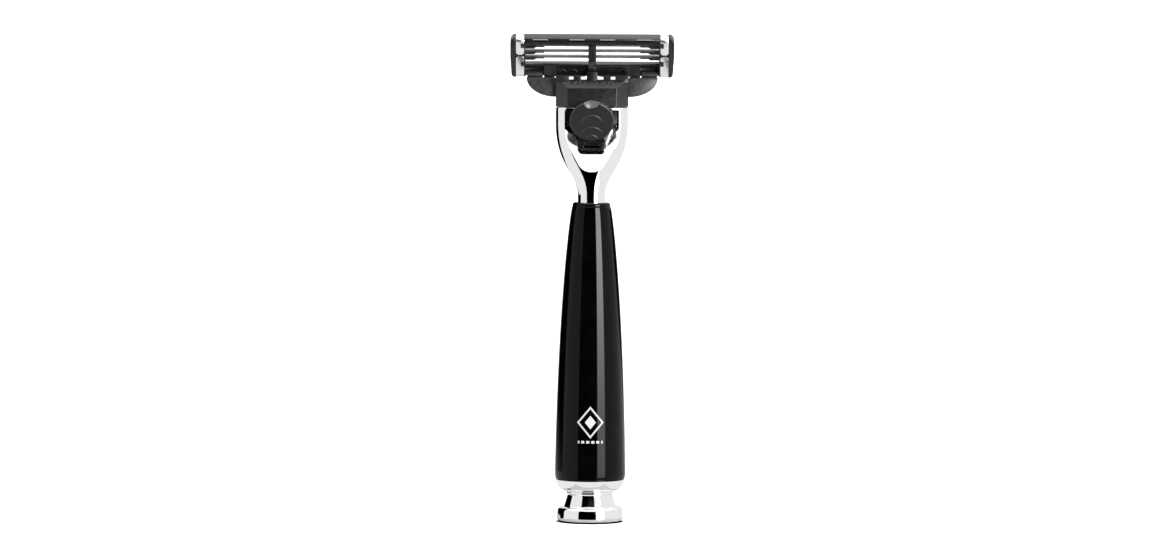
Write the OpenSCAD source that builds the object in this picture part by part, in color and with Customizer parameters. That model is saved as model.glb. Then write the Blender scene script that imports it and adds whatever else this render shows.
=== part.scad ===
// Cartridge razor: a turned handle on a chromed fork, a docking module with its release
// button, and a pivoting cartridge of three sprung blades.
// Millimetres. +Z runs up the handle, the release button faces -Y and the blades face +Y.
// The origin is the middle of the foot's flat underside.

/* [Overall] */
// Width of the cartridge over its end cheeks
cartridge_w = 42; // [35:0.5:52]
// Length of the grip
grip_length = 71.2; // [58:0.2:90]
// Widest diameter of the grip, at its lower end
grip_d = 18.2; // [15:0.1:22]
// Diameter of the grip's flat upper end
grip_top_d = 8.4; // [8:0.1:9.4]
// Lean of the blade unit from the handle's axis, at rest
head_tilt = 17; // [12:1:21]
// Turn of the blade unit from rest to its stop
pivot_range = 45; // [30:1:45]

/* [Foot and collar] */
// Diameter of the foot disc
foot_d = 17; // [14:0.1:21]
// Height of the foot disc
foot_h = 3.8; // [3:0.1:5]
// Diameter of the waist under the bead
waist_top_d = 11.6; // [10:0.1:12.4]
// Diameter of the waist above the foot disc
waist_bottom_d = 13.4; // [11:0.1:14]
// Height of the waist
waist_h = 3.2; // [2.4:0.1:4.5]
// Height of the bead between waist and collar
bead_h = 1.1; // [0.8:0.1:1.6]
// Height of the bowl-shaped collar
collar_h = 2.9; // [2:0.1:3.6]

/* [Tie rod] */
// Diameter of the rod that draws the handle together
rod_d = 4; // [3:0.1:4.8]
// Radial clearance round the rod
rod_fit = 0.05; // [0.02:0.01:0.1]
// Depth of solid metal left under the rod in the foot
rod_floor = 2.4; // [1.5:0.1:3.4]

/* [Fork] */
// Diameter of the neck
neck_d = 7; // [6.4:0.1:8]
// Width of the fork's head
fork_w = 18.6; // [16.4:0.1:22.4]
// Depth of the fork's head
fork_depth = 8.6; // [8:0.1:10.4]
// Height of the fork above the grip
fork_h = 24.5; // [24:0.1:29.5]
// Depth of the neck's seat in the grip
spigot_h = 1.5; // [1:0.1:3]
// Width of each rail beside the thumb recess
rail_w = 2.3; // [2:0.05:3]
// Depth of the thumb recess
recess_depth = 5; // [4:0.1:5.4]
// Height of the metal bridge above the thumb recess
bridge_h = 0.6; // [0.4:0.1:1]

/* [Docking module] */
// Clearance between the module and the metal round it
module_fit = 0.1; // [0.05:0.01:0.2]
// Height of the docking tongue above the fork
tongue_h = 4.3; // [3.8:0.1:5.6]
// Width of the docking tongue
tongue_w = 10; // [8.3:0.1:12]
// Width of the spring-loaded plunger
plunger_w = 2.8; // [2.4:0.1:3.4]
// Diameter of the release button
button_d = 11.4; // [9:0.1:13.7]
// Lean of the release button's face
button_tilt = 27; // [14:1:28]
// Travel of the release button
button_travel = 2; // [1.6:0.1:2.4]
// Wire thickness of the plunger spring
spring_wire = 0.28; // [0.2:0.01:0.32]
// Number of turns of the plunger spring
spring_turns = 11; // [6:1:14]

/* [Cartridge] */
// Distance from one blade to the next
blade_pitch = 1.54; // [1.5:0.01:1.85]
// Number of blades
blade_count = 3; // [3:1:3]
// Slope of a blade from the shaving plane
blade_slope = 21; // [18:1:24]
// Travel of each blade on its springs
blade_float = 0.25; // [0.1:0.01:0.28]
// Thickness of a retaining clip
clip_t = 0.3; // [0.2:0.01:0.35]
// Width of a retaining clip
clip_w = 2.1; // [1.8:0.1:3]
// Width of an end cheek
cheek_w = 1.45; // [1.2:0.05:2]
// Number of soft fins on the guard
fin_count = 5; // [3:1:5]

/* [Hidden] */
$fn = 64;
past = 1; // how far a cut runs past the surface it opens

// Heights up the handle
waist_z = foot_h;
bead_z = waist_z + waist_h;
collar_z = bead_z + bead_h;
grip_z = collar_z + collar_h;
grip_top = grip_z + grip_length;
fork_top = grip_top + fork_h;

// Handle
rod_r = rod_d / 2;
rod_hole_r = rod_r + rod_fit;
rod_tip_gap = 0.3;
rod_top = grip_top + 5.4;
neck_r = neck_d / 2;
bead_r = waist_top_d / 2 + 0.3;
collar_bottom_r = bead_r + 0.35;
grip_edge = 0.6;
spigot_fit = 0.05;

// Fork
fork_r = fork_w / 2;
fork_half_depth = fork_depth / 2;
fork_front = -fork_half_depth;
neck_h = 1.8;
shoulder_drop = 3.9; // from the fork's top down to where it reaches full width
fork_edge = 0.35;
fork_square = 2.7; // squareness of the head's section: 2 is an ellipse
recess_r = fork_r - rail_w;
recess_top = fork_top - bridge_h;
recess_bottom = fork_top - 16.6;
recess_floor = fork_front + recess_depth;

roof_t = 0.7; // solid roof over the ejector arms' recess
pivot_lift = 2.6; // from the top of the connector up to the pivot

// Docking module
module_front = fork_front + 1.55;
module_back = module_front + 4.1;
module_r = recess_r - 0.5;
module_bottom = fork_top - 11.1;
tongue_top = fork_top + tongue_h;
tongue_back = module_back - 0.35;
cavity_r = plunger_w / 2 + 1.55;
cavity_front = module_front + 0.4;
cavity_back = module_back - 0.75;
cavity_bottom = module_bottom + 1.6;
slide_bottom = cavity_bottom + 0.3;
slide_t = 1.2;
arm_in = plunger_w / 2 + 0.35;
arm_out = cavity_r - 0.2;
arm_top = tongue_top - 0.1;
stem_r = 1.4;
stem_h = 1.5;
play = 0.3; // gap between moving plastic pieces

// Plunger and its spring
plunger_front = cavity_front + 0.05;
plunger_depth = 2.4;
plunger_y = plunger_front + plunger_depth / 2;
pivot_y = plunger_y + 3.3;
pivot_z = tongue_top + button_travel + roof_t + pivot_lift;
cam_reach = 3.8; // from the pivot to the middle of the cam nose
cam_rise = 0.3; // height of the cam nose above the pivot, at rest
cam_r = 0.7;
cam_gap = 0.05;
plunger_top = pivot_z + cam_rise - cam_r - cam_gap;
plunger_bottom = plunger_top - 11.85;
plunger_bore_r = 1;
spring_r = plunger_bore_r - 0.1 - spring_wire / 2;
spring_bottom = slide_bottom + slide_t;
spring_top = plunger_bottom + 7;

// Release button
button_r = button_d / 2;
button_t = 1.1;
button_gap = 0.3;
button_y = module_front - button_gap - button_r * sin(button_tilt) - button_t / 2 * cos(button_tilt);
button_z = fork_top - 3.4;

// Connector
dock_gap = 0.1; // between the connector and the fork's top
connector_z = fork_top + dock_gap;
connector_top = tongue_top + button_travel + roof_t;
connector_r = fork_r;
socket_fit = 0.15;
split_y = tongue_back + socket_fit + 0.1; // where the cover meets the base
cover_face_r = connector_r - 3;
cover_bevel = 2.7;
cover_slope = 2.1;
sweep_r = 2.75; // what the blade unit's lower edge stays inside as it turns
arm_back = pivot_y - 2;
arm_front = pivot_y + 1.2;

// Blade unit, measured from the pivot: z runs up it, y towards the shaved skin
half_w = cartridge_w / 2;
clip_out = half_w - cheek_w;
clip_in = clip_out - clip_w;
end_in = clip_in - 0.3;
front_y = 0.8;
back_y = -3.7;
foot_back_y = -2.3;
end_bottom = -2.2;
end_back_bottom = -1.35;
bar_bottom = -1.2;
side_bar_bottom = -1.75;
bar_back = -2;
side_bar_back = -1.9;
bar_top = 1.9;
leg_back = -1.6;
bend_y = 0.3;
support_t = 0.28;
platform_l = 0.85;
blade_t = 0.1;
blade_overhang = 0.28;
function leg_z(k) = bar_top + 1.97 + k * blade_pitch;
top_leg_z = leg_z(blade_count - 1);
cap_bottom = top_leg_z + 0.25;
cap_back_bottom = top_leg_z + 0.85;
housing_top = cap_back_bottom + 1.6;
clip_split_z = (housing_top + end_bottom) / 2 + 1; // middle of the gap between a clip's two legs
spring_y = leg_back - blade_float - 0.05; // face of the springs behind the blades
trim_r = end_in - 0.5; // half length of the cap's strip and the guard's fins

// Pivot: a finger on each arm hooks round the housing's core rod
core_r = 1.12;
finger_in_r = 1.2;
finger_out_r = 2.45;
finger_from = 27; // degrees below the -Y direction
finger_to = 97;
finger_x1 = end_in - 0.5;
finger_x0 = finger_x1 - 4;
flange_in_r = 1.3;
flange_out_r = 1.65;
flange_l = 0.65;
flange_fit = 0.08;
notch_from = finger_from - head_tilt - pivot_range - 5;
notch_to = finger_to - head_tilt + 6;

// ---------------------------------------------------------------- helpers

// Points along an arc round c
function arc(c, r, a0, a1, n = 8) =
    [for (i = [0:n]) let (a = a0 + (a1 - a0) * i / n) c + r * [cos(a), sin(a)]];

// A point on the cubic curve with the four control points p
function cubic(p, t) =
    pow(1 - t, 3) * p[0] + 3 * t * pow(1 - t, 2) * p[1] + 3 * t * t * (1 - t) * p[2] + pow(t, 3) * p[3];

function unit(v) = v / norm(v);

// The arc that rounds the corner b between a and c
function corner(a, b, c, r, n) =
    let (
        u = unit(a - b),
        v = unit(c - b),
        half = acos(u * v) / 2,
        centre = b + unit(u + v) * r / sin(half),
        p = b + u * r / tan(half) - centre,
        q = b + v * r / tan(half) - centre,
        start = atan2(p.y, p.x),
        turn = atan2(q.y, q.x) - start,
        sweep = turn > 180 ? turn - 360 : turn < -180 ? turn + 360 : turn
    )
    [for (i = [0:n]) centre + r * [cos(start + sweep * i / n), sin(start + sweep * i / n)]];

// The outline pts with each corner rounded to its radius, where 0 leaves it sharp
function rounded(pts, radii, n = 5) =
    let (m = len(pts))
    [for (i = [0:m - 1]) each radii[i] == 0
        ? [pts[i]]
        : corner(pts[(i + m - 1) % m], pts[i], pts[(i + 1) % m], radii[i], n)];

// The outline pts together with its mirror image in the Y axis, as one closed outline
function mirrored(pts) = concat(pts, [for (i = [len(pts) - 1:-1:0]) [-pts[i].x, pts[i].y]]);

// A rounded box outline of n points: exponent 2 is an ellipse, and a higher one is squarer
function superellipse(a, b, e, n) =
    [for (i = [0:n - 1]) let (t = 360 * (i + 0.5) / n)
        [a * sign(cos(t)) * pow(abs(cos(t)), 2 / e), b * sign(sin(t)) * pow(abs(sin(t)), 2 / e)]];

// A closed skin over a stack of rings that all have the same number of points
module loft(rings) {
    n = len(rings[0]);
    m = len(rings);
    polyhedron(
        [for (ring = rings) each ring],
        concat(
            [[for (i = [0:n - 1]) i]],
            [for (k = [0:m - 2]) for (i = [0:n - 1]) let (j = (i + 1) % n)
                each [[k * n + i, (k + 1) * n + i, (k + 1) * n + j], [k * n + i, (k + 1) * n + j, k * n + j]]],
            [[for (i = [n - 1:-1:0]) (m - 1) * n + i]]
        )
    );
}

// A Y-Z outline, extruded along X from x0 to x1
module along_x(x0, x1) translate([x0, 0, 0]) rotate([90, 0, 90]) linear_extrude(x1 - x0) children();

// An X-Z outline, extruded along Y from y0 to y1
module along_y(y0, y1) translate([0, y1, 0]) rotate([90, 0, 0]) linear_extrude(y1 - y0) children();

// A box from its lowest to its highest corner
module box(low, high) translate(low) cube(high - low);

// A shape and its mirror image across the razor's middle plane
module both_sides() for (side = [0, 1]) mirror([side, 0, 0]) children();

// A ring sector round the X axis, its angles counted from -Y downwards
module x_sector(r0, r1, x0, x1, from, to)
    rotate([from, 0, 0])
        multmatrix([[0, 0, 1, x0], [-1, 0, 0, 0], [0, -1, 0, 0], [0, 0, 0, 1]])
            rotate_extrude(angle = to - from) translate([r0, 0]) square([r1 - r0, x1 - x0]);

// From the blade unit's own frame, centred on its pivot, to the razor's frame
module at_pivot() translate([0, pivot_y, pivot_z]) rotate([head_tilt, 0, 0]) children();

// ---------------------------------------------------------------- handle

// Turned foot: a disc, a waist that widens downwards and a bead under the collar
module foot() color("gainsboro")
    difference() {
        rotate_extrude() polygon(concat(
            [[0, 0]],
            arc([foot_d / 2 - 1.2, 1.2], 1.2, -90, 0),
            [for (i = [1:8]) cubic([
                [foot_d / 2, 1.2], [foot_d / 2 - 0.02, foot_h - 0.9],
                [foot_d / 2 - 0.1, foot_h - 0.05], [foot_d / 2 - 0.75, foot_h]
            ], i / 8)],
            [[waist_bottom_d / 2 + 0.25, foot_h], [waist_bottom_d / 2, foot_h + 0.25]],
            [[waist_top_d / 2, bead_z]],
            arc([bead_r - bead_h / 2, bead_z + bead_h / 2], bead_h / 2, -60, 60),
            [[waist_top_d / 2, collar_z], [0, collar_z]]
        ));
        translate([0, 0, rod_floor]) cylinder(r = rod_hole_r, h = collar_z);
    }

// Bowl-shaped collar between the foot and the grip
module collar() color("gainsboro")
    difference() {
        translate([0, 0, collar_z]) rotate_extrude() polygon(concat(
            [[0, 0], [collar_bottom_r, 0]],
            [for (i = [1:9]) cubic([
                [collar_bottom_r, 0], [grip_d / 2 - 1.3, 0],
                [grip_d / 2 - 0.8, 0.9], [grip_d / 2 - 0.15, collar_h]
            ], i / 9)],
            [[0, collar_h]]
        ));
        translate([0, 0, collar_z - past]) cylinder(r = rod_hole_r, h = collar_h + 2 * past);
    }

// Turned resin grip, widest near its foot, with a seat for the neck in its upper end
module grip() color([0.02, 0.02, 0.02])
    difference() {
        translate([0, 0, grip_z]) rotate_extrude() polygon(concat(
            [[0, 0], [grip_d / 2 - grip_edge, 0], [grip_d / 2 - 0.1, 0.35]],
            [for (i = [0:18]) cubic([
                [grip_d / 2, 1.3], [0.93 * grip_d / 2, 0.64 * grip_length],
                [grip_top_d / 2 + 1.285, 0.98 * grip_length - 0.1], [grip_top_d / 2 + 0.66, grip_length - 0.9]
            ], i / 18)],
            arc([grip_top_d / 2, grip_length - 0.7], 0.7, 15, 90, 5),
            [[0, grip_length]]
        ));
        translate([0, 0, grip_z - past]) cylinder(r = rod_hole_r, h = grip_length + 2 * past);
        translate([0, 0, grip_top - spigot_h]) cylinder(r = neck_r + spigot_fit, h = spigot_h + past);
    }

// Steel rod from the foot, through collar and grip, into the fork's neck
module tie_rod() color("silver")
    translate([0, 0, rod_floor + rod_tip_gap]) cylinder(r = rod_r, h = rod_top - rod_floor - rod_tip_gap);

// Outline of the thumb recess, front on
recess_outline = rounded(
    mirrored([
        [recess_r, recess_top], [recess_r, fork_top - 8.2],
        [0.34 * recess_r, recess_bottom]
    ]),
    [0.4, 14, 3.6, 3.6, 14, 0.4],
    8
);

// Outline of the docking module, front on: a block with a tail that narrows downwards
function module_outline(gap = 0, top = fork_top) = rounded(
    mirrored([
        [module_r + gap, top], [module_r + gap, fork_top - 4],
        [module_r - 1.4 + gap, fork_top - 5], [0.56 * module_r + gap, fork_top - 9],
        [0.53 * module_r + gap, module_bottom - gap]
    ]),
    [0, 0.4, 0.6, 0.5, 1.2, 1.2, 0.5, 0.6, 0.4, 0]
);

fork_rings = let (
    n = 40,
    base = grip_top,
    full = fork_top - shoulder_drop,
    levels = concat(
        [[neck_r, neck_r, 2, base - spigot_h], [neck_r, neck_r, 2, base + neck_h]],
        [for (i = [1:15]) let (
            t = i / 15,
            p = cubic([
                [neck_r, base + neck_h], [neck_r, base + neck_h + 5.7],
                [fork_r, full - 11.5], [fork_r, full]
            ], t),
            share = (p.x - neck_r) / (fork_r - neck_r)
        ) [p.x, neck_r + (fork_half_depth - neck_r) * share, 2 + (fork_square - 2) * share, p.y]],
        [[fork_r, fork_half_depth, fork_square, fork_top - fork_edge]],
        [[fork_r - fork_edge, fork_half_depth - fork_edge, fork_square, fork_top]]
    )
) [for (level = levels) [for (q = superellipse(level[0], level[1], level[2], n)) [q.x, q.y, level[3]]]];

// Chromed fork: a neck that opens into a head, with a thumb recess and a well for the module
module fork() color("gainsboro")
    difference() {
        loft(fork_rings);
        translate([0, 0, grip_top - spigot_h - past])
            cylinder(r = rod_hole_r, h = rod_top + rod_tip_gap - grip_top + spigot_h + past);
        intersection() {
            along_y(fork_front - past, recess_floor) polygon(recess_outline);
            along_x(-fork_r, fork_r) polygon(rounded(
                [
                    [fork_front - past, recess_top + past], [recess_floor, recess_top + past],
                    [recess_floor, recess_bottom + 2.256 * recess_depth],
                    [fork_front, recess_bottom - 0.494 * recess_depth],
                    [fork_front - past, recess_bottom - 0.494 * recess_depth]
                ],
                [0, 0, 12, 0, 0],
                8
            ));
        }
        along_y(module_front - module_fit, module_back + module_fit)
            polygon(module_outline(module_fit, fork_top + past));
    }

// ---------------------------------------------------------------- docking module

// Moulded module in the fork's well, with the tongue that the cartridge docks on
module docking_housing() color([0.12, 0.12, 0.13])
    difference() {
        union() {
            along_y(module_front, module_back) polygon(module_outline());
            box([-tongue_w / 2, module_front, fork_top - past], [tongue_w / 2, tongue_back, tongue_top]);
            along_y(module_front - 0.5, module_front + past) polygon(rounded(
                mirrored([[0.5 * module_r, module_bottom + 1.3], [0.5 * module_r, module_bottom + 0.1]]),
                [0.3, 0.9, 0.9, 0.3]
            ));
        }
        box([-cavity_r, cavity_front, cavity_bottom], [cavity_r, cavity_back, tongue_top + past]);
        box(
            [-stem_r - play, module_front - past, slide_bottom - 0.1],
            [stem_r + play, cavity_front + past, slide_bottom + stem_h + button_travel + play]
        );
        box(
            [-2, module_front - past, module_bottom + 0.7],
            [2, module_front + 0.4, module_bottom + 1.2]
        );
    }

// Carriage inside the module, whose two arms push the cartridge off
module ejector_slide() color([0.16, 0.16, 0.17]) {
    box(
        [-arm_out, cavity_front + 0.15, slide_bottom],
        [arm_out, cavity_back - 0.15, slide_bottom + slide_t]
    );
    both_sides()
        box(
            [arm_in, plunger_y - 0.6, slide_bottom + slide_t - 0.1],
            [arm_out, plunger_y + 0.8, arm_top]
        );
}

// Round thumb button on its stem, with raised arcs and a scoop in its upper edge
module release_button() color([0.13, 0.13, 0.14]) {
    translate([0, button_y, button_z]) rotate([90 + button_tilt, 0, 0]) difference() {
        union() {
            translate([0, 0, -button_t / 2]) rotate_extrude() polygon(concat(
                [[0, 0]],
                arc([button_r - 0.4, 0.4], 0.4, -90, 0, 4),
                arc([button_r - 0.6, button_t - 0.6], 0.6, 0, 80, 6),
                [[0, button_t + 0.12]]
            ));
            for (k = [0:len(arc_r) - 1])
                translate([0, arc_top[k] * button_r - arc_r[k], button_t / 2 - 0.1])
                    rotate([0, 0, 90 - arc_half]) rotate_extrude(angle = 2 * arc_half)
                        translate([arc_r[k], 0]) polygon([[-0.35, 0], [0, 0], [0, 0.34], [-0.1, 0.34]]);
        }
        translate([0, button_r + 0.5, button_t / 2 + 2.3]) sphere(r = 3.3);
    }
    along_x(-stem_r, stem_r) polygon([
        [module_front - 0.15, slide_bottom],
        [module_front - 0.15, recess_top - button_travel - 0.2],
        [button_y + 0.2, recess_top - button_travel - 0.2],
        [button_y + (button_z - slide_bottom - 0.4) * tan(button_tilt) + 0.1, slide_bottom + 0.4]
    ]);
    box(
        [-stem_r, module_front - 0.3, slide_bottom],
        [stem_r, cavity_front + 0.15, slide_bottom + stem_h]
    );
}
arc_r = [3.1, 2.7, 1.7]; // radius of each raised arc
arc_top = [0.35, -0.25, -0.67]; // height of each arc's crown, as a share of the button's radius
arc_half = 58; // half the angle that an arc spans

// Spring-loaded plunger that pushes the blade unit back to rest
module plunger() color([0.17, 0.17, 0.18])
    difference() {
        along_x(-plunger_w / 2, plunger_w / 2) polygon(rounded(
            [
                [plunger_front, plunger_bottom], [plunger_front + plunger_depth, plunger_bottom],
                [plunger_front + plunger_depth, plunger_top], [plunger_front, plunger_top]
            ],
            [0, 0, 0.25, 0.25]
        ));
        translate([0, plunger_y, plunger_bottom - past])
            cylinder(r = plunger_bore_r, h = spring_top - plunger_bottom + past);
    }

// Helical spring between the carriage and the plunger, as one swept wire
module plunger_spring() color("silver") {
    steps = 14;
    sides = 8;
    count = spring_turns * steps;
    low = spring_bottom + spring_wire / 2 + 0.02;
    rise = spring_top - spring_wire - 0.04 - spring_bottom;
    loft([for (i = [0:count]) let (
        a = 360 * i / steps,
        out = [cos(a), sin(a), 0],
        centre = [0, plunger_y, low + rise * i / count] + spring_r * out
    ) [for (j = [0:sides - 1]) let (b = -360 * j / sides)
        centre + spring_wire / 2 * (cos(b) * out + sin(b) * [0, 0, 1])]]);
}

// ---------------------------------------------------------------- connector

// Front half of the connector: the bevelled cover, with a rinsing rail along its top
module connector_cover() color([0.15, 0.15, 0.16])
    difference() {
        union() {
            intersection() {
                translate([0, 0, connector_z]) linear_extrude(connector_top - connector_z)
                    polygon(mirrored([
                        [connector_r, split_y], [connector_r, fork_front + cover_bevel],
                        [cover_face_r, fork_front]
                    ]));
                along_x(-connector_r - past, connector_r + past) polygon([
                    [split_y, connector_z - past], [split_y, connector_top],
                    [fork_front + cover_slope - 0.1, connector_top],
                    [fork_front, connector_top - cover_slope], [fork_front, connector_z - past]
                ]);
            }
            for (k = [-3:3])
                along_x(1.45 * k - 0.4, 1.45 * k + 0.4) polygon(let (out = [-0.11, 0.11]) [
                    slope_point(0.35), slope_point(0.35) + out, slope_point(0.8) + out, slope_point(0.8),
                    slope_point(0.8) - out, slope_point(0.35) - out
                ]);
            both_sides() {
                for (post = [[2.85, 4.8], [5.9, connector_r]])
                    box([post.x, rail_y, connector_top - 0.7], [post.y, rail_y + 0.6, rail_z]);
                box([connector_r - 0.9, rail_y, connector_top - 0.7], [connector_r, split_y, rail_z]);
                box([arm_in, rail_y, rail_z], [connector_r + 0.7, rail_y + 0.6, rail_z + 0.35]);
            }
        }
        box(
            [-tongue_w / 2 - socket_fit, module_front - socket_fit, connector_z - past],
            [tongue_w / 2 + socket_fit, split_y + past, tongue_top + 0.2]
        );
        box(
            [-cavity_r, cavity_front, tongue_top],
            [cavity_r, cavity_back, tongue_top + button_travel]
        );
        box(
            [-plunger_w / 2 - 0.2, plunger_front - 0.15, tongue_top],
            [plunger_w / 2 + 0.2, plunger_front + plunger_depth + 0.3, connector_top + past]
        );
        both_sides() {
            translate([peg_x, split_y, peg_z]) rotate([90, 0, 0])
                translate([0, 0, -past]) cylinder(r = peg_r + 0.05, h = peg_l + 0.2 + past);
            translate([6, pivot_y, pivot_z]) rotate([0, 90, 0]) cylinder(r = sweep_r, h = half_w);
        }
    }

// Point on the cover's slanted top, side on, at a share of the way up the slope
function slope_point(share) =
    [fork_front + share * (cover_slope - 0.1), connector_top - cover_slope + share * cover_slope];
rail_y = fork_front + cover_slope - 0.7;
rail_z = connector_top + 0.8;
peg_x = (tongue_w / 2 + socket_fit + connector_r) / 2;
peg_z = connector_z + 3;
peg_r = 0.7;
peg_l = 2;

// Rear half of the connector: the plate and the two arms that carry the blade unit
module connector_base() color([0.27, 0.27, 0.28]) {
    difference() {
        along_x(-connector_r, connector_r) polygon(rounded(
            [
                [split_y, connector_z], [fork_half_depth, connector_z],
                [fork_half_depth, connector_z + 2.4], [pivot_y + 1.2, connector_top],
                [split_y, connector_top]
            ],
            [0, 0.8, 2, 0.6, 0]
        ));
        both_sides()
            box([4, fork_half_depth - 0.6, connector_z + 1.4], [6.6, fork_half_depth + past, connector_z + 1.9]);
    }
    both_sides() {
        translate([peg_x, split_y + 0.5, peg_z]) rotate([90, 0, 0]) cylinder(r = peg_r, h = peg_l + 0.5);
        difference() {
            union() {
                along_y(split_y, arm_front) polygon(arm_outline(connector_r - 1));
                along_y(arm_back, split_y + 0.2) polygon(arm_outline(connector_r + 0.02));
            }
            translate([0, pivot_y, pivot_z]) rotate([0, 90, 0]) cylinder(r = sweep_r, h = half_w);
        }
        translate([0, pivot_y, pivot_z]) {
            x_sector(finger_in_r, finger_out_r, finger_x0, finger_x1, finger_from, finger_to);
            x_sector(finger_out_r - 0.1, sweep_r + 0.4, finger_x0, finger_x1, 58, 92);
            x_sector(flange_in_r, flange_out_r, finger_x1 - 0.2, finger_x1 + flange_l, finger_from, finger_to);
        }
    }
}

// Front-on outline of an arm outside x: an ellipse that rises to the housing's end
function arm_outline(x) = concat(
    [[x, pivot_z - 2.1], [x, pivot_z - 7.1 + (x > connector_r ? 0.05 : 0)]],
    [for (a = [0:9:90]) let (p = connector_r + (arm_tip - connector_r) * sin(a))
        if (p > x + 0.1) [p, pivot_z - 2.1 - 5 * cos(a)]]
);
arm_tip = end_in - 0.3;

// ---------------------------------------------------------------- blade unit

// Side-on outline of the housing's ends, taken in by inset
function end_outline(inset, front = front_y) = rounded(
    [
        [front - inset, end_bottom + inset], [front - inset, housing_top - inset],
        [back_y + inset, housing_top - inset], [foot_back_y + inset, end_back_bottom + inset]
    ],
    [0.7, 0.9, 0.9, 0.9]
);

// The end outline's back face at height z
function end_back(z) =
    foot_back_y + (back_y - foot_back_y) * (z - end_back_bottom) / (housing_top - end_back_bottom);

// Moulded housing: cap, guard bar, centre rib with the cam nose, ends and springs
module blade_housing() color([0.2, 0.2, 0.21])
    at_pivot() difference() {
        union() {
            cap_bar();
            guard_bar();
            centre_rib();
            both_sides() {
                housing_end();
                blade_springs();
            }
        }
        both_sides() {
            blade_pocket();
            x_sector(core_r, sweep_r + 0.35, finger_x0 - play, end_in, notch_from, notch_to);
            x_sector(
                flange_in_r - flange_fit, flange_out_r + flange_fit,
                end_in - 0.1, finger_x1 + flange_l + 0.2, notch_from, notch_to
            );
        }
        along_x(-trim_r, trim_r) polygon(strip_outline(-past));
        along_x(-trim_r, trim_r) polygon([
            [guard_seat, bar_bottom + 0.3], [front_y + past, bar_bottom + 0.3],
            [front_y + past, bar_top - 0.35], [guard_seat, bar_top - 0.35]
        ]);
    }
guard_seat = front_y - 0.4;

// Bar behind the cap, with four raised marks along its back
module cap_bar() {
    along_x(-end_in - 0.1, end_in + 0.1) polygon(rounded(
        [
            [front_y, cap_bottom], [front_y, housing_top], [back_y, housing_top],
            [back_y, cap_back_bottom], [-0.9, cap_back_bottom], [-0.6, cap_bottom]
        ],
        [0, 0.5, 0.4, 0.2, 0, 0]
    ));
    both_sides() for (x = [3.9, 0.77 * end_in])
        box([x - 1.95, back_y - 0.3, cap_back_bottom + 0.3], [x + 1.95, back_y + 0.2, cap_back_bottom + 0.75]);
}

// Bar under the blades, deeper beside the connector and shallower above it
module guard_bar() {
    middle_r = connector_r + 0.4;
    along_x(-middle_r, middle_r) polygon([
        [front_y, bar_bottom], [front_y, bar_top], [bar_back, bar_top], [bar_back, bar_bottom]
    ]);
    both_sides() {
        along_x(middle_r - 0.1, end_in + 0.1) polygon(rounded(
            [
                [front_y, side_bar_bottom], [front_y, bar_top],
                [side_bar_back, bar_top], [side_bar_back, side_bar_bottom]
            ],
            [0.3, 0, 0, 0.3]
        ));
        box([0, bar_back - 0.15, bar_top - 0.6], [finger_x0 - play, bar_back + 0.2, bar_top - 0.2]);
        translate([connector_r - 0.8, bar_back + 0.1, 0.3]) rotate([90, 0, 0]) cylinder(r = 0.4, h = 0.3);
        for (x = [4.4, 7.2])
            translate([x, bar_back + 0.1, 0.3]) rotate([90, -30, 0])
                linear_extrude(0.3) square([1.2, 0.26], center = true);
    }
}

// Rib behind the blades, which ends in the rounded nose that the plunger bears on
module centre_rib() {
    nose = cam_reach * [-cos(nose_angle), sin(nose_angle)];
    along_x(-1, 1) polygon(rounded(
        [
            [spring_y - 0.05, cap_back_bottom + 0.4], [back_y + 0.3, cap_back_bottom + 0.4],
            [-3, top_leg_z - 0.5], [-3, 2.9], nose + [-cam_r, 0.2], nose + [0.1, -0.3],
            [bar_back + 0.1, 1], [bar_back + 0.1, 2.4], [spring_y - 0.05, 3]
        ],
        [0, 0, 0.3, 0.2, 0, 0, 0, 0.1, 0.1]
    ));
    translate([-1, nose.x, nose.y]) rotate([0, 90, 0]) cylinder(r = cam_r, h = 2);
}
nose_angle = asin(cam_rise / cam_reach) + head_tilt;

// One end of the housing: block under the clip, bridge between its legs, cheek and catches
module housing_end() {
    along_x(end_in, clip_in) polygon(end_outline(0));
    along_x(clip_in - 0.1, clip_out + 0.1) polygon(end_outline(clip_t, front_y + clip_lift));
    along_x(clip_in - 0.1, clip_out + 0.1) polygon([
        [-2, clip_split_z - bridge_half], [-2, clip_split_z + bridge_half],
        [end_back(clip_split_z), clip_split_z + bridge_half], [end_back(clip_split_z), clip_split_z - bridge_half]
    ]);
    intersection() {
        along_x(clip_out, half_w) polygon(end_outline(-0.08));
        along_y(back_y - past, front_y + past) polygon(rounded(
            [
                [clip_out - 1, end_bottom - past], [clip_out + 0.1, end_bottom - past],
                [clip_out + 0.4, end_bottom], [half_w - 0.3, end_back_bottom + 0.7], [half_w, bar_top + 2.4],
                [half_w, housing_top - 1.1], [half_w - 0.9, housing_top + 0.05], [clip_out - 1, housing_top + past]
            ],
            [0, 0, 0.3, 1.2, 6, 1.2, 0.5, 0]
        ));
    }
    for (z = [bar_top + 0.4, cap_back_bottom - 0.4]) {
        along_x(end_in, clip_in + 0.85) polygon(catch_outline(z, 0.01));
        along_x(end_in, clip_in) polygon(catch_outline(z, -0.4));
    }
}

// Side-on outline of a catch at height z, proud of the end's back face and gap clear of it
function catch_outline(z, gap) = [
    [end_back(z - 0.6) - 0.25, z - 0.6], [end_back(z + 0.6) - 0.25, z + 0.6],
    [end_back(z + 0.6) - gap, z + 0.6], [end_back(z - 0.6) - gap, z - 0.6]
];
clip_lift = 0.15; // how far a clip stands in front of the housing
bridge_half = 0.22;

// Slots in the housing's end that hold the ends of the blade supports
module blade_pocket()
    for (k = [0:blade_count - 1])
        box(
            [end_in - past, spring_y - 0.1, leg_z(k) - blade_pitch + 0.36],
            [end_in + support_hold + 0.2, front_y + past, leg_z(k) + 0.14]
        );
support_hold = 1.6;

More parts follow.
